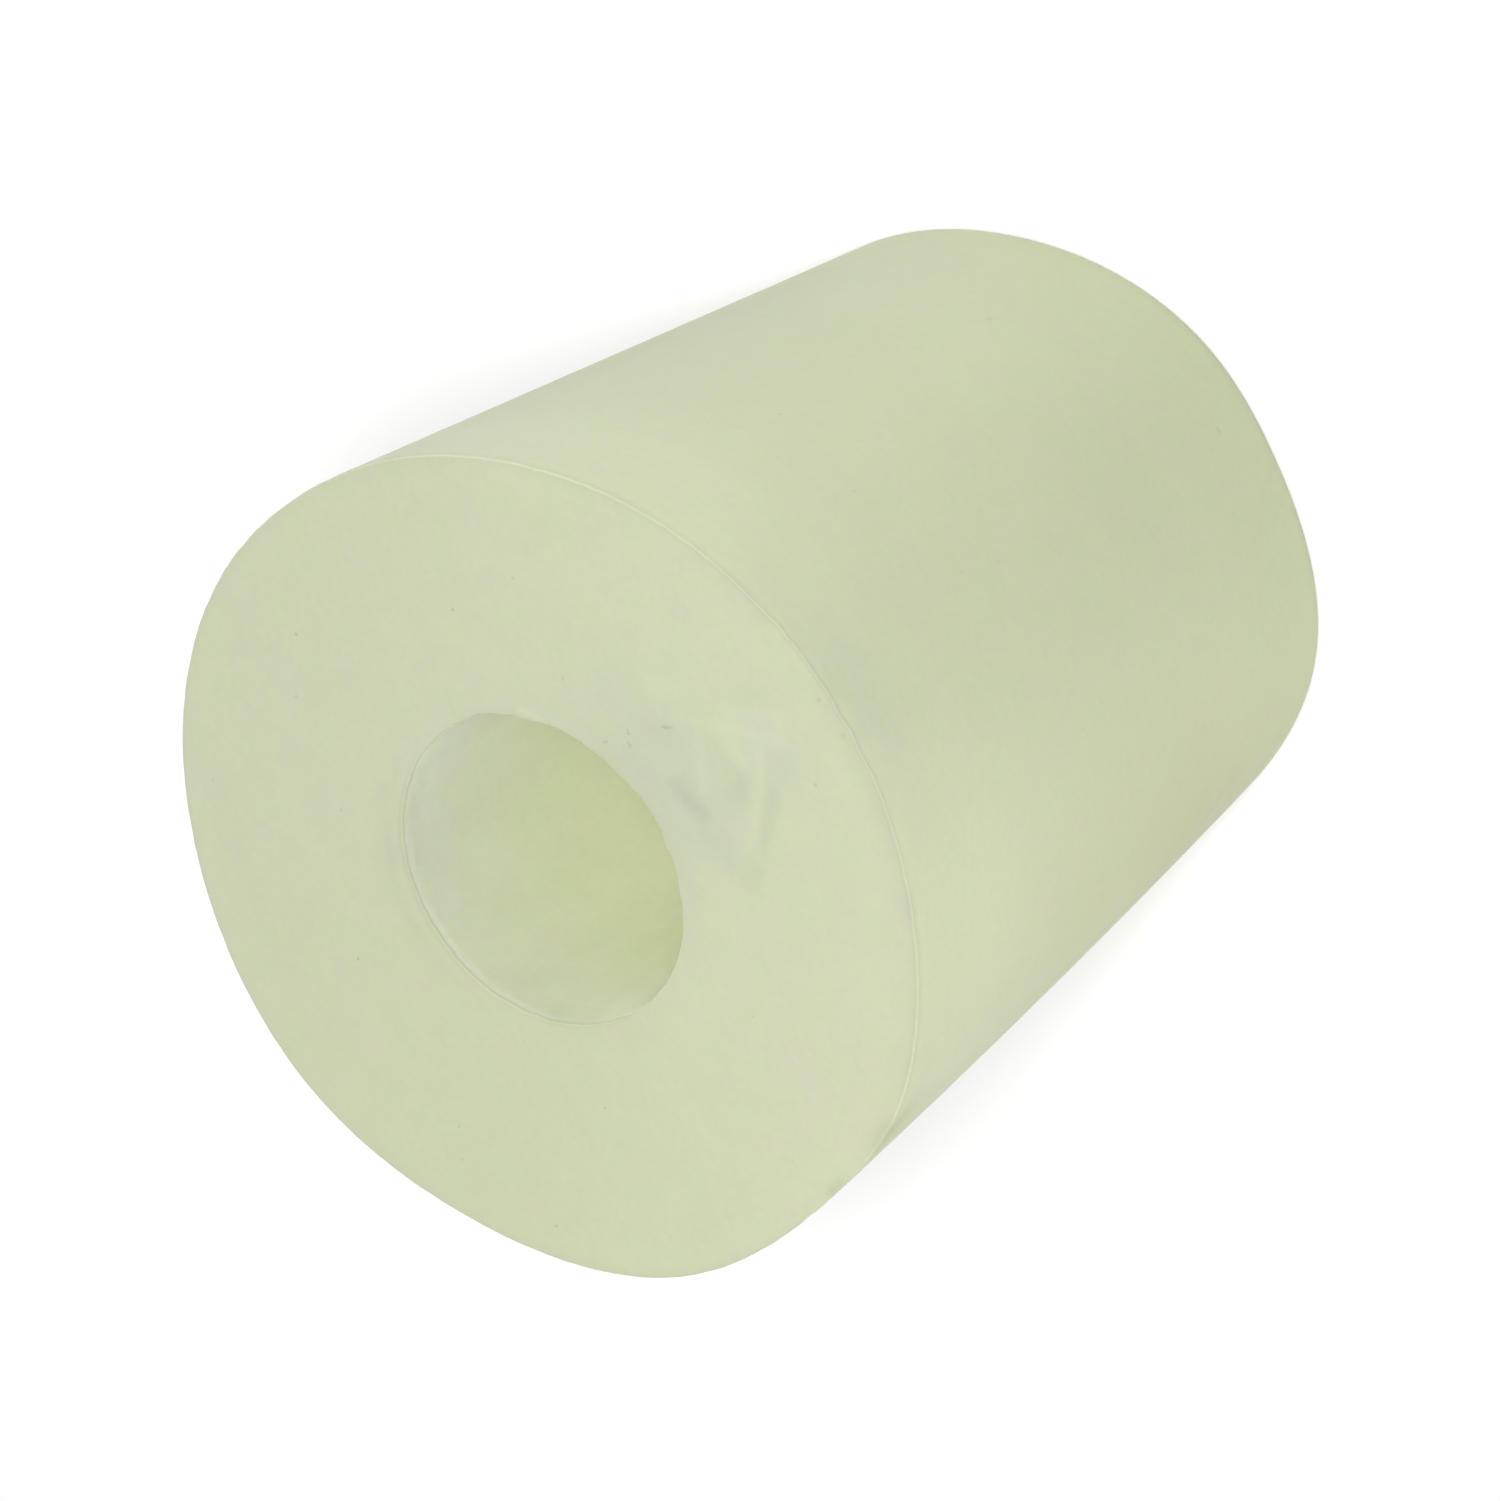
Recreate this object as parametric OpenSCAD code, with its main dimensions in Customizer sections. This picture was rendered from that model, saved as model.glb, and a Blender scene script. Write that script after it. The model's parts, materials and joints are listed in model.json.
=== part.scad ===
// Laboratory stopper in silicone rubber, moulded as a plain tapered plug and then drilled for a tube.
// The origin is the centre of the narrow end, and +Z runs up the axis to the wide end.

/* [Body] */
// Diameter across the wide end, the size that a stopper is numbered by
wide_d = 24; // [20:0.5:40]
// Diameter across the narrow end
narrow_d = 19.5; // [14:0.5:20]
// Length from end to end
stopper_l = 25; // [15:1:60]

/* [Edges] */
// Radius of the crisp edge round the wide end, where the mould closes
wide_edge_r = 0.15; // [0.05:0.05:1]
// Radius of the softer edge round the narrow end, which leads into the neck
narrow_edge_r = 0.5; // [0.1:0.1:1.2]

/* [Bore] */
// Diameter of the hole drilled along the axis
bore_d = 9.2; // [3:0.1:11]

/* [Hidden] */
$fn = 128;

// How far the drill runs past each end face
drill_past = 1;

// How far inside its edge arcs the side wall ends, so that the outlines cross and leave no sliver
wall_seat = 0.0002;

// Slope of the side wall, measured from the axis
taper = atan((wide_d - narrow_d) / 2 / stopper_l);

// The way that the side wall faces, as [outwards, upwards]
wall_out = [cos(taper), -sin(taper)];

// Centre of each edge arc in the half section, where the arc is tangent to its end face and to the wall
narrow_arc = [narrow_d / 2 - narrow_edge_r * (1 - sin(taper)) / cos(taper), narrow_edge_r];
wide_arc = [wide_d / 2 - wide_edge_r * (1 + sin(taper)) / cos(taper), stopper_l - wide_edge_r];

// Half of the plug's section, from its axis to the side wall
module plug_section() {
    polygon([
        [0, 0],
        [narrow_arc.x, 0],
        narrow_arc + (narrow_edge_r - wall_seat) * wall_out,
        wide_arc + (wide_edge_r - wall_seat) * wall_out,
        [wide_arc.x, stopper_l],
        [0, stopper_l]
    ]);
    translate(narrow_arc)
        circle(r = narrow_edge_r);
    translate(wide_arc)
        circle(r = wide_edge_r);
}

// The tapered plug as it leaves the mould
module plug() {
    rotate_extrude()
        plug_section();
}

// The hole for the tube, right through along the axis
module bore() {
    translate([0, 0, -drill_past])
        cylinder(d = bore_d, h = stopper_l + 2 * drill_past);
}

module stopper() {
    color("#cfd5b3")
        difference() {
            plug();
            bore();
        }
}

stopper();
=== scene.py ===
"""The drilled silicone stopper as it looks: out of round, scuffed beside its hole and a little dusty."""

import json
import math

import bpy
import numpy as np
from mathutils import Matrix, Vector


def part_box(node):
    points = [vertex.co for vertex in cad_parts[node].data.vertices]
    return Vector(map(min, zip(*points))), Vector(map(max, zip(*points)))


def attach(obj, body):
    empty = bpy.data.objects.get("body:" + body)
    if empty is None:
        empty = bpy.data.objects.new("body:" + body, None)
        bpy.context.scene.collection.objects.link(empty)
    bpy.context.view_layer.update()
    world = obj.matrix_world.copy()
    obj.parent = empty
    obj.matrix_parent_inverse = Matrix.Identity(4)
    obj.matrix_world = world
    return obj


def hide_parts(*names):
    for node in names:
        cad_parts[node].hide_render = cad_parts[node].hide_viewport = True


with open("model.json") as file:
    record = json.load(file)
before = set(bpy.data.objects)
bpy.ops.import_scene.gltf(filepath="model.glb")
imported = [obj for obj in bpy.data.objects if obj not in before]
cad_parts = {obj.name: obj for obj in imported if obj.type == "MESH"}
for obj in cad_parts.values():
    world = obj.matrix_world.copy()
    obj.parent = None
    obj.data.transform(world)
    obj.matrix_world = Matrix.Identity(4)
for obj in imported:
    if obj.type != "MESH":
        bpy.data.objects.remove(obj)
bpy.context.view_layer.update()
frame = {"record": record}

MM = 0.001
NODE = "stopper"
box_lo, box_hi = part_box(NODE)
BASE_Z = box_lo.z
LENGTH = box_hi.z - box_lo.z
BORE_MOUNT = next(m for m in frame["record"]["mounts"] if m["name"] == "tube_bore")
BORE_R = BORE_MOUNT["dims"]["r_mm"] * MM

# ---------------------------------------------------------------- the stopper's own measures

WIDE_R = 12.0 * MM
NARROW_R = 9.75 * MM
WIDE_EDGE = 0.05 * MM
NARROW_EDGE = 0.5 * MM
LIP_EDGE = 0.05 * MM
TAPER = math.atan((WIDE_R - NARROW_R) / LENGTH)

COLUMNS = 544
SEED = 24
# Steps of the mesh along the section: by a sharp edge, by the foot, and the longest on each stretch
EDGE_STEP = 0.04 * MM
FOOT_STEP = 0.15 * MM
FACE_STEP = 0.13 * MM
WALL_STEP = 0.7 * MM
UNDER_STEP = 0.6 * MM
BORE_STEP = 1.0 * MM
STEP_GROWTH = 1.5
SHARP_ARC = 3
ROUND_ARC = 6
# How far wear reaches: down the walls, in from the rim, out from the bore's lip, and into the wall at a nick
WEAR_DEPTH = 1.5 * MM
SOFT_RIM_REACH = 0.3 * MM
SOFT_LIP_REACH = 0.2 * MM
NICK_REACH = 0.4 * MM
# Unevenness of the rim and the lip: how far it reaches, how many waves it has in a turn, and how they vary
ROUGH_REACH = 0.2 * MM
ROUGH_DEPTH = 0.3 * MM
LIP_WAVES = (9, 60)
RIM_WAVES = (14, 90)
WAVE_SPREAD = 0.4

# In the lists below an angle is in degrees from +X towards +Y, and a length is in millimetres.
# High and low places round the outside: (angle, height off round)
WIDE_END = (
    (20, 0.15), (62, 0.0), (93, 0.09), (125, -0.13), (158, 0.13), (186, -0.15),
    (210, 0.12), (235, -0.02), (260, 0.08), (290, 0.0), (318, -0.16), (350, 0.0),
)
NARROW_END = (
    (0, 0.1), (50, -0.06), (100, 0.06), (145, -0.04), (190, -0.15), (224, 0.15),
    (257, -0.12), (283, 0.07), (320, -0.1),
)
WAIST = (
    (20, 0.0), (100, -0.05), (180, 0.14), (250, 0.0),
)
# The same for the bore, all along it: more than 0 is wider
BORE_SHAPE = (
    (50, 0.04), (141, -0.05), (211, 0.05), (240, -0.04), (262, -0.07), (284, -0.2),
    (316, -0.19), (345, -0.05),
)
# How far the face drops at the rim and at the bore's lip, where they are soft: (angle, drop)
SOFT_RIM = (
    (20, 0.03), (120, 0.02), (190, 0.08), (235, 0.16), (262, 0.04), (285, 0.08),
    (322, 0.18), (352, 0.05),
)
SOFT_LIP = (
    (30, 0.12), (80, 0.1), (125, 0.03), (200, 0.05), (250, 0.02), (320, 0.06),
)
# How uneven the bore's lip and the rim are: (angle, height of the unevenness)
ROUGH_LIP = (
    (30, 0.006), (110, 0.012), (200, 0.008), (280, 0.018), (330, 0.012),
)
ROUGH_RIM = (
    (30, 0.006), (145, 0.006), (200, 0.008), (245, 0.012), (268, 0.035), (290, 0.012),
)
# Nicks in the wall by the wide rim: (angle, height up the wall, half width, half height, depth)
NICKS = (
    (203, 24.2, 0.3, 0.5, 0.08),
    (192, 25.0, 0.3, 0.35, 0.08),
)
# A change of colour is given as parts of red, green and blue, where 0.01 is one percent more.
EVENLY = (1, 1, 1)
# Scuffs and smudges on the face, and painted shade in the nicks on the rim: from (radius, angle) to (radius,
# angle), half width, and change
SCUFFS_AND_NICK_SHADE = (
    (7.6, 288, 8.0, 284, 0.22, (0.01, 0.03, 0.02)),
    (7.4, 280, 8.0, 275, 0.2, (0.02, 0.035, 0.02)),
    (8.4, 273, 9.8, 266, 0.22, (0.06, 0.055, 0.06)),
    (8.9, 275, 10.1, 269, 0.16, (0.05, 0.045, 0.05)),
    (8.2, 269, 8.3, 265, 0.18, (0.045, 0.045, 0.045)),
    (7.4, 274, 6.7, 264, 0.16, (0.035, 0.04, 0.04)),
    (8.9, 265, 7.4, 246, 0.14, (0.045, 0.04, 0.03)),
    (8.7, 258, 7.1, 241, 0.2, (-0.08, -0.055, -0.055)),
    (7.9, 262, 7.6, 260, 0.25, (-0.08, -0.04, -0.06)),
    (5.9, 269, 6.2, 259, 0.18, (-0.07, -0.07, -0.04)),
    (6.1, 266, 6.6, 246, 0.35, (-0.045, -0.045, -0.02)),
    (5.5, 284, 5.5, 252, 0.4, (-0.035, -0.03, 0.01)),
    (7.4, 278, 8.0, 262, 0.6, (-0.06, -0.025, -0.025)),
    (8.1, 290, 8.6, 286, 0.5, (-0.02, 0.0, 0.0)),
    (6.5, 283, 6.7, 279, 0.25, (-0.03, -0.04, -0.03)),
    (6.6, 256, 6.6, 294, 0.8, (-0.034, -0.027, -0.012)),
    (6.8, 261, 6.8, 270, 0.35, (-0.03, -0.01, -0.01)),
    (9.4, 262, 9.6, 273, 0.6, (-0.04, -0.034, -0.014)),
    # These two dark strokes on the rim are painted shade in the nicks
    (12.05, 202, 12.05, 205.5, 0.24, (-0.085, -0.085, -0.11)),
    (11.95, 190.5, 11.95, 193, 0.13, (-0.1, -0.1, -0.12)),
    (10.8, 185, 10.8, 222, 1.2, (0.015, 0.008, 0.018)),
    (7.0, 137, 11.0, 125, 1.6, (-0.012, -0.008, -0.008)),
    (4.85, 325, 4.7, 317, 0.08, (0.06, 0.06, 0.05)),
)
# Slow changes of the face: painted light, lighter towards one side, as (angle, share of the radius where it
# turns, change), and a warmer place, as (angle, radius, reach, change)
FACE_PAINTED_LIGHT_SIDE = (225, 0.2, (0.04, 0.038, 0.04))
WARM_PLACE = (135, 9, 6, (0.0, 0.0, -0.04))
# The wall: all of it, its top above a share of its height, lighter as painted light, and its foot below one,
# darker as painted shade
WALL_CHANGE = (0.004, 0.01, -0.018)
WALL_TOP = 0.5
WALL_TOP_PAINTED_LIGHT = (0.06, 0.055, 0.06)
WALL_FOOT = 0.25
WALL_FOOT_PAINTED_SHADE = (-0.015, -0.01, -0.035)
# Places of another tone on the wall, most of them painted light and shade: lighter by the wide rim, darker
# across the middle and by the foot, and a strong painted shade in the nick at 202.5 degrees: (angle, height
# up the wall, reach round, reach up, change)
WALL_PATCHES_LIGHT_AND_SHADE = (
    (269, 8.0, 4.5, 4.0, (-0.02, -0.01, -0.02)),
    (280, 13.5, 4.0, 3.0, (0.025, 0.02, 0.015)),
    (216, 10.0, 3.0, 4.5, (-0.01, -0.02, -0.1)),
    (194, 5.0, 2.2, 3.5, (-0.03, -0.07, -0.06)),
    (212, 6.5, 2.2, 2.5, (-0.01, -0.02, -0.01)),
    (207, 4.0, 1.4, 3.5, (-0.03, -0.035, -0.075)),
    (344, 9.0, 1.2, 8.0, (-0.025, -0.035, -0.025)),
    (300, 9.0, 3.0, 3.0, (0.015, 0.015, 0.01)),
    (200, 17.0, 1.5, 8.0, (0.05, 0.05, 0.02)),
    (185, 23.5, 1.2, 1.5, (-0.03, -0.035, -0.03)),
    (219, 8.0, 2.0, 2.5, (-0.012, -0.025, -0.03)),
    (240, 2.5, 2.0, 2.0, (-0.02, -0.015, -0.02)),
    (260, 17.5, 1.8, 2.0, (-0.02, -0.01, -0.025)),
    (341, 24.0, 2.0, 2.0, (0.0, -0.008, 0.05)),
    (325, 22.5, 4.0, 2.0, (0.03, 0.03, 0.035)),
    (222, 21.0, 4.0, 3.0, (0.05, 0.05, 0.04)),
    (214, 24.6, 2.5, 0.8, (0.02, 0.02, 0.02)),
    (267, 23.9, 1.6, 1.2, (-0.055, -0.035, -0.015)),
    (267, 24.58, 1.8, 0.18, (-0.035, -0.035, -0.03)),
    (202.5, 24.3, 0.6, 0.6, (-0.2, -0.19, -0.3)),
)
# Specks of dirt: (radius, angle, height, reach, change)
SPECKS = (
    (9.4, 16, 25, 0.045, -0.19),
    (7.6, 339, 25, 0.05, -0.19),
    (6.05, 310, 25, 0.045, -0.15),
    (8.6, 27, 25, 0.04, -0.15),
    (6.6, 48, 25, 0.04, -0.15),
    (7.6, 84, 25, 0.045, -0.19),
    (7.0, 155, 25, 0.04, -0.15),
    (9.2, 120, 25, 0.04, -0.14),
    (10.9, 140, 25, 0.05, -0.17),
    (10.2, 257.5, 25, 0.05, -0.15),
    (11.7, 268, 25, 0.07, -0.11),
    (11.8, 262.5, 25, 0.07, -0.09),
    (6.75, 281.4, 25, 0.05, -0.11),
    (6.82, 280.8, 25, 0.06, -0.15),
    (6.9, 280.2, 25, 0.055, -0.15),
    (6.99, 279.6, 25, 0.045, -0.09),
    (5.8, 287.9, 25, 0.04, -0.11),
    (5.74, 287.2, 25, 0.05, -0.14),
    (5.5, 285.6, 25, 0.05, -0.11),
    (5.47, 284.7, 25, 0.05, -0.12),
    (4.95, 292.2, 25, 0.05, -0.12),
    (5.02, 291.4, 25, 0.05, -0.11),
    (10.35, 304, 6.3, 0.12, -0.09),
    (10.0, 267.5, 2.3, 0.12, -0.09),
)
# Tones run round the stopper, as (angle, hundredths lighter). The wall of the bore has these, painted light
# and shade: lighter at its sides and a little darker in the middle
BORE_PAINTED_LIGHT_AND_SHADE = (
    (0, 22), (15, 22), (30, 12), (45, 3), (60, -2.5), (90, -3.5),
    (120, 0), (135, 5), (148, 12), (165, 25), (180, 20), (270, 0),
)
# Its mouths have these, painted light and shade
MOUTH_PAINTED_LIGHT_AND_SHADE = (
    (0, 19.5), (15, 12), (30, -6), (45, -14), (60, -13), (90, -8),
    (110, -11), (140, -14), (152, -8), (165, 6), (180, 30), (270, 0),
)
# A narrow ring just below its lips has these, painted light, and lies at these depths
RING_PAINTED_LIGHT = (
    (5, 2), (30, 7), (70, 5), (110, 6), (130, 6.5), (150, 4.5),
    (180, 2), (270, 0),
)
RING_DEPTHS = (
    (30, 0.2), (70, 0.13), (95, 0.15), (130, 0.2),
)
# Painted light and shade along the bore, from either mouth: (depth, hundredths lighter)
DEPTH_PAINTED_LIGHT_AND_SHADE = (
    (0, 0), (1.2, 1.5), (2.5, 5.5), (5, 1.5), (7, -1.5), (8.5, -2.5),
    (10, -2),
)
# The bore is warmer by its mouths, as (depth, reach, change), and more so towards -X. Inside, it is cooler
# towards +X
MOUTH_WARMTH = (0.42, 0.35, (0.0, 0.01, -0.08))
MINUS_X_WARMTH = (0.8, 0.8, (0.0, 0.012, -0.05))
PLUS_X_COOLNESS = (0.0, 0.0, 0.08)
# Painted shade on the face by the rim: (angle, hundredths lighter), like those below
RIM_PAINTED_SHADE = (
    (15, -4), (75, -4), (135, -6), (165, -3), (195, -3), (225, -9),
    (250, -10), (280, -9), (300, -7), (320, -7), (342, -6),
)
# Painted shade where the face turns down to the soft rim
RIM_SLOPE_PAINTED_SHADE = (
    (195, 0), (210, -0.5), (232, -4), (250, -2.5), (262, -1.5), (275, -1.5),
    (290, -0.5), (307, -3.5), (322, -2.5), (337, -2), (355, 0),
)
# Painted shade, in a few places light, on the edge of the rim itself
RIM_EDGE_PAINTED_SHADE = (
    (75, -15), (160, -8), (204, 0), (225, -8), (250, -10), (268, -15),
    (282, -12), (300, -7), (320, 2), (345, 1.5),
)
# Painted shade, in a few places light, on a narrow ring of the wall just below the rim
RIM_RING_PAINTED_SHADE = (
    (180, 0), (203, 3), (215, -3.5), (230, -3), (250, 0), (270, 1),
    (280, 0), (298, -3), (309, -6.5), (322, -7.5), (337, -4.5), (360, 0),
)
# Painted shade on the face by the bore's lip
LIP_PAINTED_SHADE = (
    (15, -4), (40, -8.5), (60, -10), (92, -9), (125, -3), (150, -4),
    (175, -6), (200, -5), (250, -9), (285, -10), (320, -6),
)
# Painted shade, in one place light, on the edge of the lip itself
LIP_EDGE_PAINTED_SHADE = (
    (15, -1), (60, -8), (110, -5), (145, -7), (172, -3), (188, 2),
    (205, -1), (240, -1), (265, -5), (295, -3), (330, -6),
)
# How far these tones reach in from the rim or the lip, down the wall, and along the bore
RIM_REACH = 0.35 * MM
RIM_EDGE_DEPTH = 0.12 * MM
RIM_EDGE_REACH = 0.05 * MM
RIM_RING_DEPTH = 0.18 * MM
RIM_RING_REACH = 0.06 * MM
LIP_REACH = 0.5 * MM
LIP_EDGE_REACH = 0.08 * MM
RING_REACH = 0.09 * MM
MOUTH_DEPTH = 1.5 * MM
DEEP = 9 * MM
# How far the skin stays firm, and scatters no light, from the rim and the lip
FIRM_RIM = 0.4 * MM
FIRM_LIP = 0.5 * MM
# How far one surface's colour blends into the next one's
BLEND = 0.1 * MM


# ---------------------------------------------------------------- numbers along and round the stopper

def smooth(share):
    """0 below 0, 1 above 1, and a smooth rise between them."""
    share = np.clip(share, 0, 1)
    return share * share * (3 - 2 * share)


def near(value, centre, reach):
    """1 at the centre, falling smoothly to nothing a few reaches away."""
    return np.exp(-0.5 * ((value - centre) / reach) ** 2)


def around(angles, centre, radius):
    """Distance in metres along a circle of the given radius, from an angle in degrees."""
    turned = (np.degrees(angles) - centre + 180) % 360 - 180
    return np.radians(turned) * radius


def between(angles, places):
    """The values at the listed places, with a smooth run from each one to the next."""
    turn, value = np.array(sorted(places), dtype=float).T
    turn = np.concatenate([turn[-1:] - 360, turn, turn[:1] + 360])
    value = np.concatenate([value[-1:], value, value[:1]])
    here = np.degrees(angles) % 360
    index = np.clip(np.searchsorted(turn, here, side="right") - 1, 0, turn.size - 2)
    share = smooth((here - turn[index]) / (turn[index + 1] - turn[index]))
    return value[index] + (value[index + 1] - value[index]) * share


def lengths(angles, places):
    """The same for values in millimetres, given back in metres."""
    return MM * between(angles, places)


def uneven(angles, rng, low, high):
    """Waves of low to high turns round the axis, each with a random phase, with a spread of 1."""
    turns = np.arange(low, high + 1)
    phase = rng.uniform(0, 2 * np.pi, turns.size)
    size = rng.normal(1, WAVE_SPREAD, turns.size) / np.sqrt(turns)
    total = (size[:, None] * np.cos(turns[:, None] * angles + phase[:, None])).sum(axis=0)
    return total / total.std()


# ---------------------------------------------------------------- shape

def straight(start, end, first, last, widest):
    """Points on a straight stretch of the section, without its last point. Steps grow away from both ends."""
    start, end = np.array(start), np.array(end)
    span = np.linalg.norm(end - start)
    left, right = [first], [last]
    while sum(left) + sum(right) < span:
        side = left if left[-1] <= right[-1] else right
        side.append(min(side[-1] * STEP_GROWTH, widest))
    places = np.concatenate([[0.0], np.cumsum(left + right[::-1])])
    return start + (end - start) * (places / places[-1])[:-1, None]


def arc(centre, radius, start, end, steps):
    """Points on an arc of the section, as (radius, height), without its last point. Angles are in degrees."""
    turn = np.radians(np.linspace(start, end, steps + 1)[:-1])
    return np.column_stack([centre[0] + radius * np.cos(turn), centre[1] + radius * np.sin(turn)])


def section():
    """The closed outline of half the stopper, from the bore's wide lip over the face and down the wall."""
    lip = LIP_EDGE
    slope = math.degrees(TAPER)
    wide = (WIDE_R - WIDE_EDGE * (1 + math.sin(TAPER)) / math.cos(TAPER), LENGTH - WIDE_EDGE)
    narrow = (NARROW_R - NARROW_EDGE * (1 - math.sin(TAPER)) / math.cos(TAPER), NARROW_EDGE)
    out = np.array([math.cos(TAPER), -math.sin(TAPER)])
    wall_top = np.array(wide) + WIDE_EDGE * out
    wall_foot = np.array(narrow) + NARROW_EDGE * out
    parts = [
        arc((BORE_R + lip, LENGTH - lip), lip, 180, 90, SHARP_ARC),
        straight((BORE_R + lip, LENGTH), (wide[0], LENGTH), EDGE_STEP, EDGE_STEP, FACE_STEP),
        arc(wide, WIDE_EDGE, 90, -slope, SHARP_ARC),
        straight(wall_top, wall_foot, EDGE_STEP, FOOT_STEP, WALL_STEP),
        arc(narrow, NARROW_EDGE, -slope, -90, ROUND_ARC),
        straight((narrow[0], 0), (BORE_R + lip, 0), FOOT_STEP, EDGE_STEP, UNDER_STEP),
        arc((BORE_R + lip, lip), lip, 270, 180, SHARP_ARC),
        straight((BORE_R, lip), (BORE_R, LENGTH - lip), EDGE_STEP, EDGE_STEP, BORE_STEP),
    ]
    return np.vstack(parts)


def wall_radius(height):
    """Radius of the tapered wall at a height."""
    return NARROW_R + (WIDE_R - NARROW_R) * height / LENGTH


def worn(radius, angles, height, wall_r):
    """Lets the face drop at its soft rim and at the bore's soft lip, and takes the walls below with it."""
    below = smooth((height - LENGTH) / WEAR_DEPTH + 1)
    at_rim = near(radius, wall_r, SOFT_RIM_REACH)
    at_lip = near(np.maximum(radius, BORE_R), BORE_R, SOFT_LIP_REACH)
    return height - below * (at_rim * lengths(angles, SOFT_RIM) + at_lip * lengths(angles, SOFT_LIP))


def out_of_round(radius, angles, height, wall_r):
    """Moves the outside in and out by its height, and the bore by the same amount all along."""
    up = height / LENGTH
    outward = np.clip((radius - BORE_R) / (wall_r - BORE_R), 0, 1)
    outside = lengths(angles, WIDE_END) * up + lengths(angles, NARROW_END) * (1 - up)
    outside = outside + lengths(angles, WAIST) * 4 * up * (1 - up)
    return radius + outside * outward ** 2 + lengths(angles, BORE_SHAPE) * (1 - outward) ** 2


def nicked(radius, angles, height, wall_r):
    """Presses the nicks into the wall."""
    for centre, up, half_width, half_height, depth in NICKS:
        across = near(around(angles, centre, WIDE_R), 0, half_width * MM)
        reach = across * near(height, up * MM, half_height * MM)
        radius = radius - reach * near(radius, wall_r, NICK_REACH) * depth * MM
    return radius


def stopper_grid():
    """Radius, angle and height of every vertex, a row to each point of the section, and those before wear."""
    rng = np.random.default_rng(SEED)
    line = section()
    angles = np.linspace(0, 2 * np.pi, COLUMNS, endpoint=False)
    flat = np.ones(COLUMNS)
    radius, height = line[:, :1] * flat, line[:, 1:] * flat
    wall_r = wall_radius(height)
    start = (radius, height)

    at_top = near(height, LENGTH, ROUGH_DEPTH)
    lip = near(radius, BORE_R, ROUGH_REACH) * at_top * lengths(angles, ROUGH_LIP)
    rim = near(radius, WIDE_R, ROUGH_REACH) * at_top * lengths(angles, ROUGH_RIM)
    inward = lip * uneven(angles, rng, *LIP_WAVES) - rim * np.abs(uneven(angles, rng, *RIM_WAVES))
    downward = lip * np.abs(uneven(angles, rng, *LIP_WAVES)) + rim * np.abs(uneven(angles, rng, *RIM_WAVES))

    new_height = worn(radius, angles, height, wall_r) - downward
    new_radius = out_of_round(radius, angles, height, wall_r) + inward
    new_radius = nicked(new_radius, angles, height, new_radius.max(axis=0))
    return new_radius, angles * np.ones_like(radius), new_height, start


def closed_grid(name, radius, angles, height):
    """A mesh that closes on itself round the axis and round the section."""
    rows, columns = radius.shape
    x, y = radius * np.cos(angles), radius * np.sin(angles)
    points = np.stack([x, y, height + BASE_Z], axis=-1).reshape(-1, 3)
    row, column = np.meshgrid(np.arange(rows), np.arange(columns), indexing="ij")
    next_row, next_column = (row + 1) % rows, (column + 1) % columns
    corners = (
        row * columns + column,
        next_row * columns + column,
        next_row * columns + next_column,
        row * columns + next_column,
    )
    quads = np.stack(corners, axis=-1).reshape(-1, 4)
    mesh = bpy.data.meshes.new(name)
    mesh.vertices.add(len(points))
    mesh.vertices.foreach_set("co", points.ravel())
    mesh.loops.add(quads.size)
    mesh.loops.foreach_set("vertex_index", quads.ravel().astype(np.int32))
    mesh.polygons.add(len(quads))
    mesh.polygons.foreach_set("loop_start", np.arange(0, quads.size, 4, dtype=np.int32))
    mesh.update(calc_edges=True)
    mesh.validate()
    mesh.shade_smooth()
    return placed(bpy.data.objects.new(name, mesh))


def placed(thing):
    """Puts an object in the scene."""
    bpy.context.scene.collection.objects.link(thing)
    return thing


def mark(piece, name, amount):
    """Stores one number for each vertex, for the material to read."""
    layer = piece.data.attributes.new(name, "FLOAT", "POINT")
    layer.data.foreach_set("value", np.ascontiguousarray(amount, dtype=np.float32).ravel())


def paint(piece, name, colour):
    """Stores one colour for each vertex, for the material to read."""
    layer = piece.data.attributes.new(name, "FLOAT_COLOR", "POINT")
    opaque = np.ones(colour.shape[:-1] + (1,))
    layer.data.foreach_set("color", np.concatenate([colour, opaque], axis=-1).astype(np.float32).ravel())


# ---------------------------------------------------------------- colour stored on the mesh, with painted light and shade

def srgb(red, green, blue):
    """A colour given as 8-bit display values, as the shader takes it."""
    values = np.array([red, green, blue]) / 255
    return np.where(values <= 0.04045, values / 12.92, ((values + 0.055) / 1.055) ** 2.4)


SKIN = srgb(205, 210.5, 179.5)
# LIP_SKIN is the bore's colour at its lips. The lighter colour after it is the bore's colour deep inside:
# painted light, standing in for light that comes through the rubber.
LIP_SKIN = srgb(205, 208.5, 193.5)
BORE_PAINTED_GLOW = srgb(236, 241, 211.5)
LIGHTEST = 0.96


def changed(colour, where, change):
    """The colour with its red, green and blue changed where the mask is 1."""
    return colour * (1 + where[..., None] * np.array(change))


def toned(colour, where, angles, tones):
    """The colour made lighter or darker where the mask is 1, by an amount that runs round the stopper."""
    return changed(colour, where * between(angles, tones) / 100, EVENLY)


def spot(radius, angle):
    """A place on the face in metres, from a radius in millimetres and an angle in degrees."""
    turn = math.radians(angle)
    return radius * MM * np.array([math.cos(turn), math.sin(turn)])


def from_stroke(x, y, start_r, start_angle, end_r, end_angle):
    """Distance in metres of each point of the face from a straight stroke."""
    start, end = spot(start_r, start_angle), spot(end_r, end_angle)
    way = end - start
    along = np.clip(((x - start[0]) * way[0] + (y - start[1]) * way[1]) / way.dot(way), 0, 1)
    return np.hypot(x - start[0] - along * way[0], y - start[1] - along * way[1])


def on_face(height):
    """1 on the wide face and 0 everywhere else."""
    return smooth((height - LENGTH) / BLEND + 1)


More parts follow.
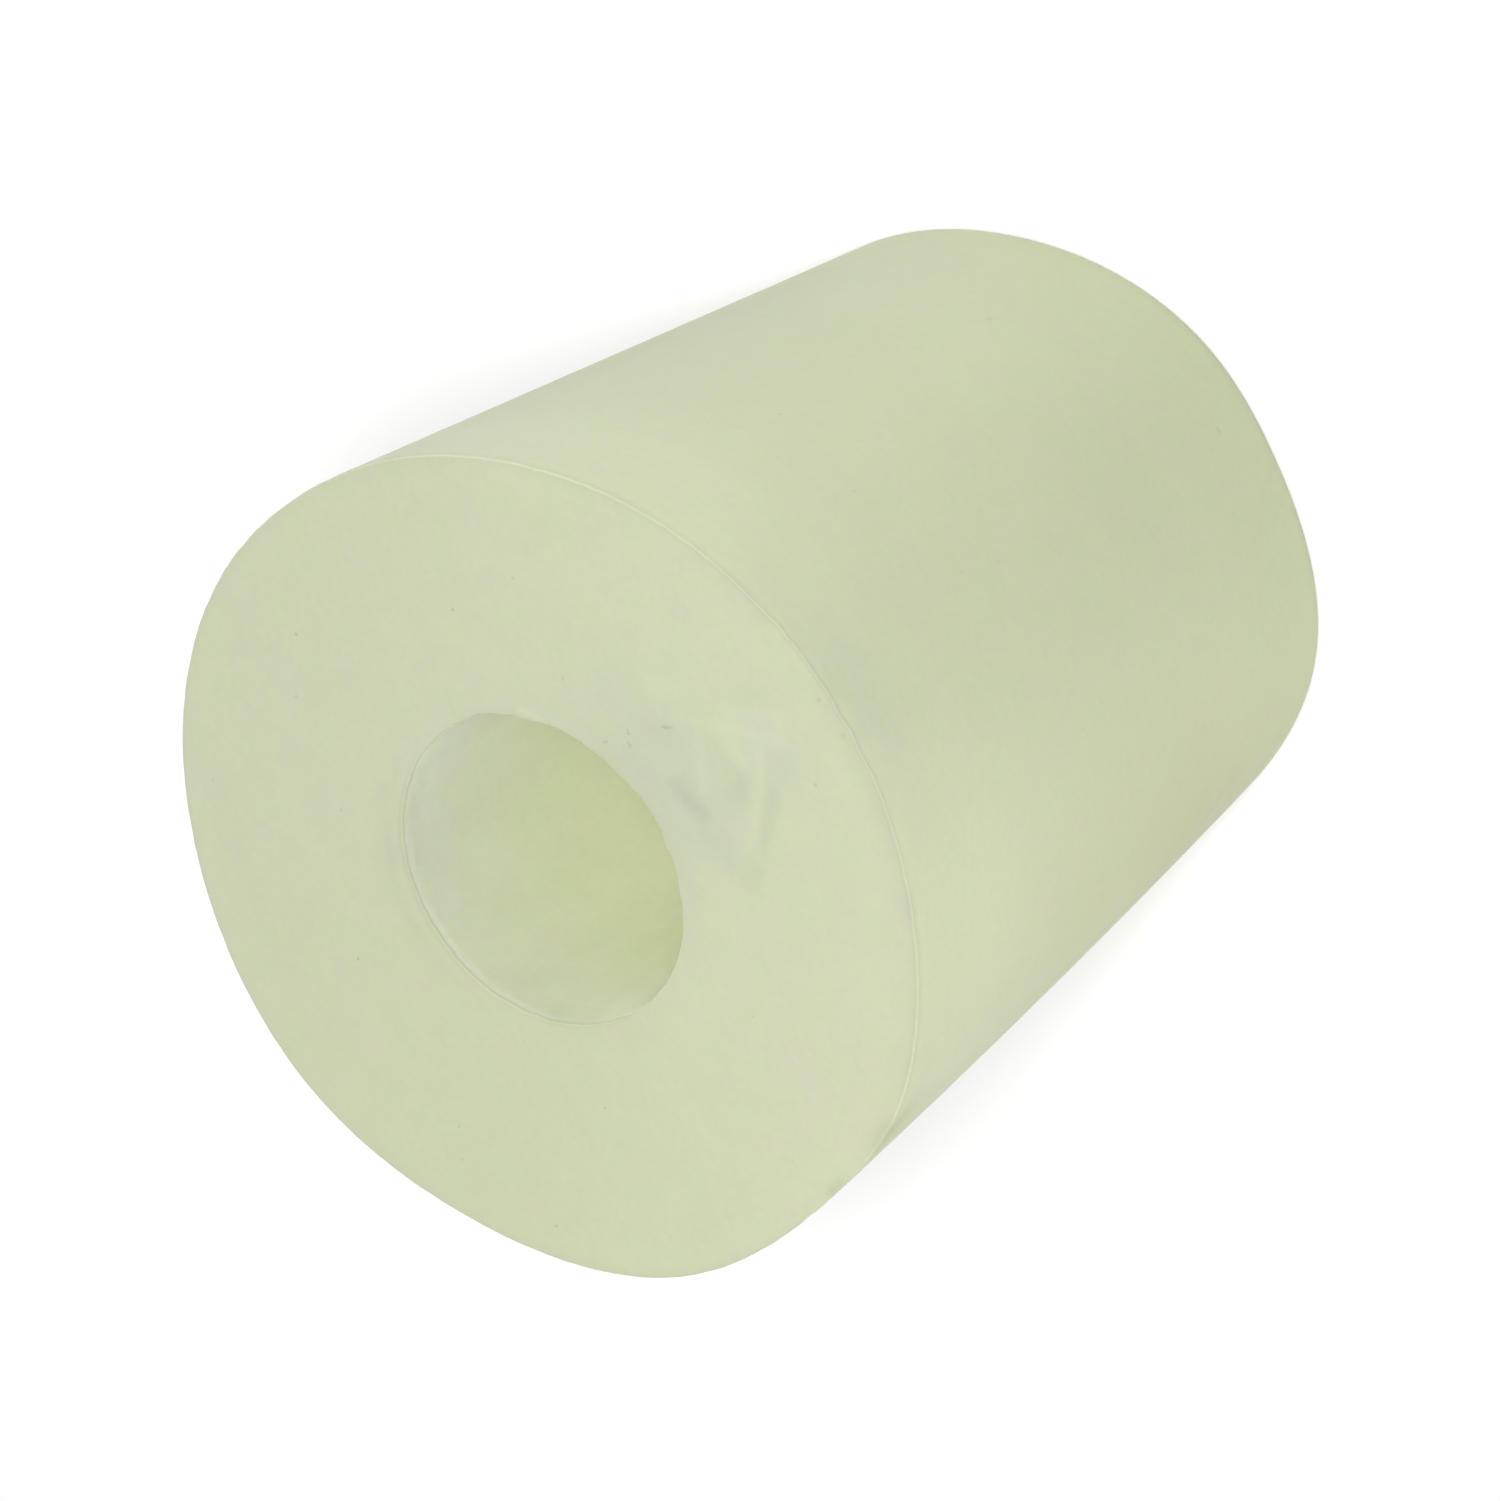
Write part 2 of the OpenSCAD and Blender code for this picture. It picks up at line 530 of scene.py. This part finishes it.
def on_wall(radius, height):
    """1 on the tapered wall and 0 on the ends and in the bore."""
    at_wall = near(radius, wall_radius(height), 2 * BLEND)
    return at_wall * (height > BLEND) * (height < LENGTH - 0.5 * WIDE_EDGE)


def in_bore(radius, height):
    """1 on the wall of the bore, from just inside its mouths, and 0 on the outside."""
    return smooth((BORE_R + BLEND - radius) / BLEND) * smooth(from_mouth(height) / (2 * BLEND))


def from_mouth(height):
    """Depth in metres below the nearer mouth of the bore."""
    return np.minimum(height, LENGTH - height)


def from_rim(radius, height):
    """Distance in metres along the surface from the wide rim."""
    return np.abs(WIDE_R - radius) + LENGTH - height


def from_lip(radius, height):
    """Distance in metres along the surface from the bore's wide lip."""
    return np.abs(radius - BORE_R) + LENGTH - height


def firmness(radius, height):
    """1 along the wide rim and the bore's wide lip, falling to 0 about a millimetre away."""
    by_rim = near(from_rim(radius, height), 0, FIRM_RIM)
    by_lip = near(from_lip(radius, height), 0, FIRM_LIP)
    return np.maximum(by_rim, by_lip)


def face_colour_and_light(colour, radius, angles, height):
    """Adds painted light across the face, lighter towards one side, its scuffs, painted shade by the nicks on
    the rim, and a warmer place.
    """
    face = on_face(height)
    x, y = radius * np.cos(angles), radius * np.sin(angles)
    side, middle, change = FACE_PAINTED_LIGHT_SIDE
    toward = (x * math.cos(math.radians(side)) + y * math.sin(math.radians(side))) / WIDE_R
    colour = changed(colour, face * (toward - middle), change)
    for *stroke, half_width, change in SCUFFS_AND_NICK_SHADE:
        colour = changed(colour, face * near(from_stroke(x, y, *stroke), 0, half_width * MM), change)
    centre, out, reach, change = WARM_PLACE
    return changed(colour, face * near(around(angles, centre, out * MM), 0, reach * MM), change)


def edge_painted_shade(colour, radius, angles, height):
    """Paints shade, in a few places light, along the rim, the lip and a narrow ring of the wall below the
    rim.
    """
    face = on_face(height)
    rim, lip = from_rim(radius, height), from_lip(radius, height)
    colour = toned(colour, face * near(rim, 0, RIM_REACH), angles, RIM_PAINTED_SHADE)
    slope = rim / SOFT_RIM_REACH * near(rim, 0, SOFT_RIM_REACH) / near(1, 0, 1)
    colour = toned(colour, face * slope, angles, RIM_SLOPE_PAINTED_SHADE)
    below_rim = near(height, LENGTH, RIM_EDGE_DEPTH) * near(radius, WIDE_R, RIM_EDGE_REACH)
    colour = toned(colour, below_rim, angles, RIM_EDGE_PAINTED_SHADE)
    colour = toned(colour, near(height, LENGTH - RIM_RING_DEPTH, RIM_RING_REACH), angles, RIM_RING_PAINTED_SHADE)
    colour = toned(colour, face * near(lip, 0, LIP_REACH), angles, LIP_PAINTED_SHADE)
    return toned(colour, near(lip, 0, LIP_EDGE_REACH), angles, LIP_EDGE_PAINTED_SHADE)


def wall_colour_and_light(colour, radius, angles, height):
    """Adds painted light at the top, painted shade at the foot, and the broad patches of the wall, most of
    them painted light and shade.
    """
    wall = on_wall(radius, height)
    up = height / LENGTH
    colour = changed(colour, wall, WALL_CHANGE)
    colour = changed(colour, wall * smooth((up - WALL_TOP) / (1 - WALL_TOP)), WALL_TOP_PAINTED_LIGHT)
    colour = changed(colour, wall * smooth((WALL_FOOT - up) / WALL_FOOT), WALL_FOOT_PAINTED_SHADE)
    for centre, rise, reach, reach_up, change in WALL_PATCHES_LIGHT_AND_SHADE:
        across = near(around(angles, centre, WIDE_R), 0, reach * MM)
        colour = changed(colour, wall * across * near(height, rise * MM, reach_up * MM), change)
    return colour


def bore_colour_and_light(radius, angles, height):
    """The bore's colour, mostly painted light and shade: as light as the skin by its lip, much lighter
    inside, and lighter or darker round and along it.
    """
    depth = from_mouth(height)
    inside = np.clip(depth / DEEP, 0, 1)[..., None]
    past_mouth = smooth(depth / MOUTH_DEPTH)
    colour = LIP_SKIN * (1 - inside) + BORE_PAINTED_GLOW * inside
    colour = toned(colour, past_mouth * np.ones_like(radius), angles, BORE_PAINTED_LIGHT_AND_SHADE)
    colour = toned(colour, (1 - past_mouth) * np.ones_like(radius), angles, MOUTH_PAINTED_LIGHT_AND_SHADE)
    colour = changed(colour, np.interp(depth / MM, *zip(*DEPTH_PAINTED_LIGHT_AND_SHADE)) / 100, EVENLY)
    colour = toned(colour, near(depth, lengths(angles, RING_DEPTHS), RING_REACH), angles, RING_PAINTED_LIGHT)
    centre, reach, change = MOUTH_WARMTH
    colour = changed(colour, near(depth, centre * MM, reach * MM), change)
    centre, reach, change = MINUS_X_WARMTH
    colour = changed(colour, near(depth, centre * MM, reach * MM) * np.clip(-np.cos(angles), 0, 1), change)
    colour = changed(colour, past_mouth * np.clip(np.cos(angles), 0, 1), PLUS_X_COOLNESS)
    return np.minimum(colour, LIGHTEST)


def colours(radius, angles, height):
    """The colour of every vertex, with its painted light and shade, as red, green and blue."""
    skin = np.ones(radius.shape + (3,)) * SKIN
    skin = face_colour_and_light(skin, radius, angles, height)
    skin = wall_colour_and_light(skin, radius, angles, height)
    skin = edge_painted_shade(skin, radius, angles, height)
    bore = in_bore(radius, height)[..., None]
    return skin * (1 - bore) + bore_colour_and_light(radius, angles, height) * bore


# ---------------------------------------------------------------- material

# How much light spreads under the skin, how far it goes there and behind the bore, and its share by colour
MILKINESS = 0.6
SKIN_SPREAD = 1.0 * MM
BORE_SPREAD = 10 * MM
SPREAD_SHARES = (1.0, 1.0, 0.8)
IOR = 1.42
ROUGHNESS = 0.58
ROUGHNESS_SWING = 0.08
# The mottling, each as the size of its features, its detail and how much it changes the tone
CLOUDS = (4 * MM, 3.0, 0.007)
BLOTCHES = (1 * MM, 2.0, 0.008)
GRAIN = (0.25 * MM, 1.0, 0.01)
# The change of colour, in places as large as this, with its detail and its share
PINK = (1.1 * MM, 2.0, 0.4)
PINK_SHIFT = (0.02, -0.016, 0.018)
# Most of a noise lies between these two values
NOISE_SPAN = (0.3, 0.7)
# Dust: the distance between specks, the parts of it where a speck begins and ends to fade, and its tone
DUST_GAP = 1.5 * MM
DUST_FADE = (0.015, 0.045)
DUST_TONE = -0.2
# The parts of a larger speck's reach where it begins and ends to fade
SPECK_FADE = (0.5, 1.6)
# Relief, each as the size of its features, its detail and its height
PEBBLES = (0.3 * MM, 2.0, 0.006 * MM)
WAVES = (2.5 * MM, 2.0, 0.05 * MM)


class Nodes:
    """Short ways to add shader nodes to one tree."""

    def __init__(self, tree):
        self.tree = tree
        self.coordinates = None

    def add(self, kind):
        return self.tree.nodes.new("ShaderNode" + kind)

    def put(self, value, socket):
        """Sets a socket to a number, or links another socket to it."""
        if isinstance(value, bpy.types.NodeSocket):
            self.tree.links.new(value, socket)
        else:
            socket.default_value = value

    def place(self):
        """Where each point lies on the stopper, from one node for all that ask."""
        if self.coordinates is None:
            self.coordinates = self.add("TexCoord")
        return self.coordinates.outputs["Object"]

    def attribute(self, name, output="Fac"):
        node = self.add("Attribute")
        node.attribute_name = name
        return node.outputs[output]

    def noise(self, size, detail):
        """Noise from 0 to 1, whose features are about as large as size, in metres."""
        node = self.add("TexNoise")
        node.inputs["Scale"].default_value = 1 / size
        node.inputs["Detail"].default_value = detail
        self.put(self.place(), node.inputs["Vector"])
        return node.outputs["Fac"]

    def maths(self, operation, first, second):
        node = self.add("Math")
        node.operation = operation
        self.put(first, node.inputs[0])
        self.put(second, node.inputs[1])
        return node.outputs[0]

    def total(self, *values):
        result = values[0]
        for value in values[1:]:
            result = self.maths("ADD", result, value)
        return result

    def ranged(self, run, *values):
        """Takes a value from one range to another: the value, both ends of the first, both of the second."""
        node = self.add("MapRange")
        node.interpolation_type = run
        for name, value in zip(("Value", "From Min", "From Max", "To Min", "To Max"), values):
            self.put(value, node.inputs[name])
        return node.outputs["Result"]

    def swing(self, noise, amount):
        """Runs from minus amount to plus amount as the noise goes over most of its range."""
        return self.ranged("LINEAR", noise, *NOISE_SPAN, -amount, amount)

    def fade(self, value, near_end, far_end, amount):
        """Is amount up to near_end, and falls smoothly to nothing at far_end."""
        return self.ranged("SMOOTHSTEP", value, near_end, far_end, amount, 0.0)

    def vector(self, operation, first, second):
        node = self.add("VectorMath")
        node.operation = operation
        self.put(first, node.inputs[0])
        self.put(second, node.inputs["Scale"] if operation == "SCALE" else node.inputs[1])
        return node.outputs["Value"] if operation == "DISTANCE" else node.outputs["Vector"]


def dust(nodes, clouds):
    """Tiny dark specks, sparse and of uneven strength."""
    cells = nodes.add("TexVoronoi")
    cells.inputs["Scale"].default_value = 1 / DUST_GAP
    nodes.put(nodes.place(), cells.inputs["Vector"])
    return nodes.maths("MULTIPLY", nodes.fade(cells.outputs["Distance"], *DUST_FADE, DUST_TONE), clouds)


def specks(nodes):
    """The larger specks, each in its own place."""
    start, end = SPECK_FADE
    found = []
    for radius, angle, height, reach, change in SPECKS:
        turn = math.radians(angle)
        place = Vector((radius * math.cos(turn), radius * math.sin(turn), height)) * MM
        place.z += BASE_Z
        away = nodes.vector("DISTANCE", nodes.place(), place)
        found.append(nodes.fade(away, start * reach * MM, end * reach * MM, change))
    return nodes.total(*found)


def skin_colour(nodes, clouds, blotches):
    """The colour stored on the mesh, which holds painted light and shade, with faint cloudy patches, grain,
    dust and specks.
    """
    tone = nodes.total(
        1.0,
        nodes.swing(clouds, CLOUDS[2]),
        nodes.swing(blotches, BLOTCHES[2]),
        nodes.swing(nodes.noise(*GRAIN[:2]), GRAIN[2]),
        dust(nodes, clouds),
        specks(nodes),
    )
    pink = nodes.swing(nodes.noise(*PINK[:2]), PINK[2])
    skin = nodes.vector("SCALE", nodes.attribute("tint_and_painted_light", "Color"), tone)
    return nodes.vector("ADD", skin, nodes.vector("SCALE", PINK_SHIFT, pink))


def skin_height(nodes):
    """Height of the surface in metres: pebbled moulded skin and slow waves."""
    pebbles = nodes.maths("MULTIPLY", nodes.noise(*PEBBLES[:2]), PEBBLES[2])
    waves = nodes.maths("MULTIPLY", nodes.noise(*WAVES[:2]), WAVES[2])
    return nodes.total(pebbles, waves)


def silicone():
    """Milky, slightly green silicone rubber with a matt moulded skin."""
    material = bpy.data.materials.new("silicone")
    material.use_nodes = True
    shader = material.node_tree.nodes["Principled BSDF"]
    nodes = Nodes(material.node_tree)
    clouds, blotches = nodes.noise(*CLOUDS[:2]), nodes.noise(*BLOTCHES[:2])
    nodes.put(skin_colour(nodes, clouds, blotches), shader.inputs["Base Color"])
    nodes.put(nodes.total(ROUGHNESS, nodes.swing(blotches, ROUGHNESS_SWING)), shader.inputs["Roughness"])
    bump = nodes.add("Bump")
    bump.inputs["Strength"].default_value = 1.0
    bump.inputs["Distance"].default_value = 1.0
    nodes.put(skin_height(nodes), bump.inputs["Height"])
    nodes.put(bump.outputs["Normal"], shader.inputs["Normal"])
    shader.inputs["IOR"].default_value = IOR
    # Light spreads far under the thin wall of the bore, and hardly at all along the sharp edges
    scatter = nodes.maths("MULTIPLY", nodes.attribute("bore"), BORE_SPREAD)
    nodes.put(nodes.attribute("milky"), shader.inputs["Subsurface Weight"])
    nodes.put(nodes.total(SKIN_SPREAD, scatter), shader.inputs["Subsurface Scale"])
    shader.inputs["Subsurface Radius"].default_value = SPREAD_SHARES
    return material


# ---------------------------------------------------------------- stage

WHITE = (1.0, 1.0, 1.0, 1.0)
FLOOR_SIZE = 3.0
FLOOR_GAP = 0.02 * MM
FLOOR_COLOUR = (0.6, 0.6, 0.6, 1.0)
FLOOR_LIFT = 0.45
SKY = 0.2
LAMP_DISTANCE = 0.5
# Azimuth from +X towards +Y, elevation, width, height, and light where 1 is white: the wide face looks up
LAMPS = {
    "front": (270, 55, 0.09, 0.1, 0.84),
    "left": (180, 8, 0.3, 0.12, 0.3),
    "right": (0, 8, 0.3, 0.12, 0.33),
    "back": (90, 8, 0.3, 0.12, 0.4),
}

# The camera looks down on the wide end, rolled so that the stopper points up and to the right
CAMERA_ELEVATION = 48.27
CAMERA_ROLL = -124.08
CAMERA_LENS = 215.9
CAMERA_CLIP = (0.01, 10.0)
# Where the wide face's centre lies from the camera
FACE_RIGHT = -5.68 * MM
FACE_UP = -3.24 * MM
FACE_AWAY = 243.1 * MM


def make_camera():
    """A long lens, which sees the wide face's centre to its left and below its middle."""
    tilt = math.radians(CAMERA_ELEVATION)
    roll = math.radians(CAMERA_ROLL)
    level = Vector((1, 0, 0))
    rise = Vector((0, math.sin(tilt), math.cos(tilt)))
    back = Vector((0, -math.cos(tilt), math.sin(tilt)))
    right = math.cos(roll) * level + math.sin(roll) * rise
    up = -math.sin(roll) * level + math.cos(roll) * rise
    face = Vector((0, 0, BASE_Z + LENGTH))
    data = bpy.data.cameras.new("camera")
    data.lens = CAMERA_LENS
    data.clip_start, data.clip_end = CAMERA_CLIP
    camera = placed(bpy.data.objects.new("camera", data))
    turn = Matrix((right, up, back)).transposed().to_4x4()
    place = face - FACE_RIGHT * right - FACE_UP * up + FACE_AWAY * back
    camera.matrix_world = Matrix.Translation(place) @ turn
    bpy.context.scene.camera = camera


def seen_directly(nodes):
    """1 where a camera, glossy or transmission ray looks, and 0 for the light that falls on things."""
    rays = nodes.add("LightPath").outputs
    seen = nodes.maths("MAXIMUM", rays["Is Camera Ray"], rays["Is Glossy Ray"])
    return nodes.maths("MAXIMUM", seen, rays["Is Transmission Ray"])


def make_sky():
    """An even white surround: full white to the eye, and a little light."""
    world = bpy.data.worlds.new("surround")
    bpy.context.scene.world = world
    world.use_nodes = True
    world.node_tree.nodes.clear()
    nodes = Nodes(world.node_tree)
    mix = nodes.add("MixShader")
    nodes.put(seen_directly(nodes), mix.inputs["Fac"])
    for socket, strength in ((mix.inputs[1], SKY), (mix.inputs[2], 1.0)):
        background = nodes.add("Background")
        background.inputs["Color"].default_value = WHITE
        background.inputs["Strength"].default_value = strength
        nodes.put(background.outputs[0], socket)
    nodes.put(mix.outputs[0], nodes.add("OutputWorld").inputs["Surface"])


def make_floor():
    """Pale paper that shows white away from the stopper and keeps its soft shadow."""
    half = FLOOR_SIZE / 2
    low = BASE_Z - FLOOR_GAP
    corners = [(-half, -half, low), (half, -half, low), (half, half, low), (-half, half, low)]
    mesh = bpy.data.meshes.new("floor")
    mesh.from_pydata(corners, [], [(0, 1, 2, 3)])
    floor = placed(bpy.data.objects.new("floor", mesh))
    material = bpy.data.materials.new("floor")
    material.use_nodes = True
    nodes = Nodes(material.node_tree)
    shader = material.node_tree.nodes["Principled BSDF"]
    shader.inputs["Base Color"].default_value = FLOOR_COLOUR
    shader.inputs["Roughness"].default_value = 1.0
    shader.inputs["Specular IOR Level"].default_value = 0.0
    shader.inputs["Emission Color"].default_value = WHITE
    nodes.put(nodes.maths("MULTIPLY", seen_directly(nodes), FLOOR_LIFT), shader.inputs["Emission Strength"])
    mesh.materials.append(material)


def soft_lamp(name, azimuth, elevation, width, height, light):
    """A soft rectangular lamp that faces the stopper, with light as a white surface facing it would show."""
    turn, rise = math.radians(azimuth), math.radians(elevation)
    way = Vector((math.cos(turn) * math.cos(rise), math.sin(turn) * math.cos(rise), math.sin(rise)))
    data = bpy.data.lights.new(name, "AREA")
    data.shape = "RECTANGLE"
    data.size, data.size_y = width, height
    data.energy = light * math.pi ** 2 * LAMP_DISTANCE ** 2
    lamp = placed(bpy.data.objects.new(name, data))
    lamp.location = Vector((0, 0, BASE_Z + LENGTH / 2)) + way * LAMP_DISTANCE
    lamp.rotation_mode = "QUATERNION"
    lamp.rotation_quaternion = way.to_track_quat("Z", "Y")


# ---------------------------------------------------------------- build

def make_stopper():
    """The one piece that is seen, in place of the CAD's solid."""
    radius, angles, height, (plain_r, plain_z) = stopper_grid()
    piece = closed_grid("stopper_rubber", radius, angles, height)
    bore = in_bore(plain_r, plain_z)
    mark(piece, "bore", bore)
    mark(piece, "milky", MILKINESS * (1 - firmness(plain_r, plain_z)) * (1 - bore) + bore)
    # The stored colour holds the painted light and shade of the face, rim, lip, wall and bore, besides the
    # rubber's own tints
    paint(piece, "tint_and_painted_light", colours(plain_r, angles, plain_z))
    piece.data.materials.append(silicone())
    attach(piece, "root")
    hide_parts(NODE)


make_camera()
make_stopper()
make_sky()
make_floor()
for lamp_name, lamp_values in LAMPS.items():
    soft_lamp(lamp_name, *lamp_values)
bpy.context.scene.view_settings.view_transform = "Standard"
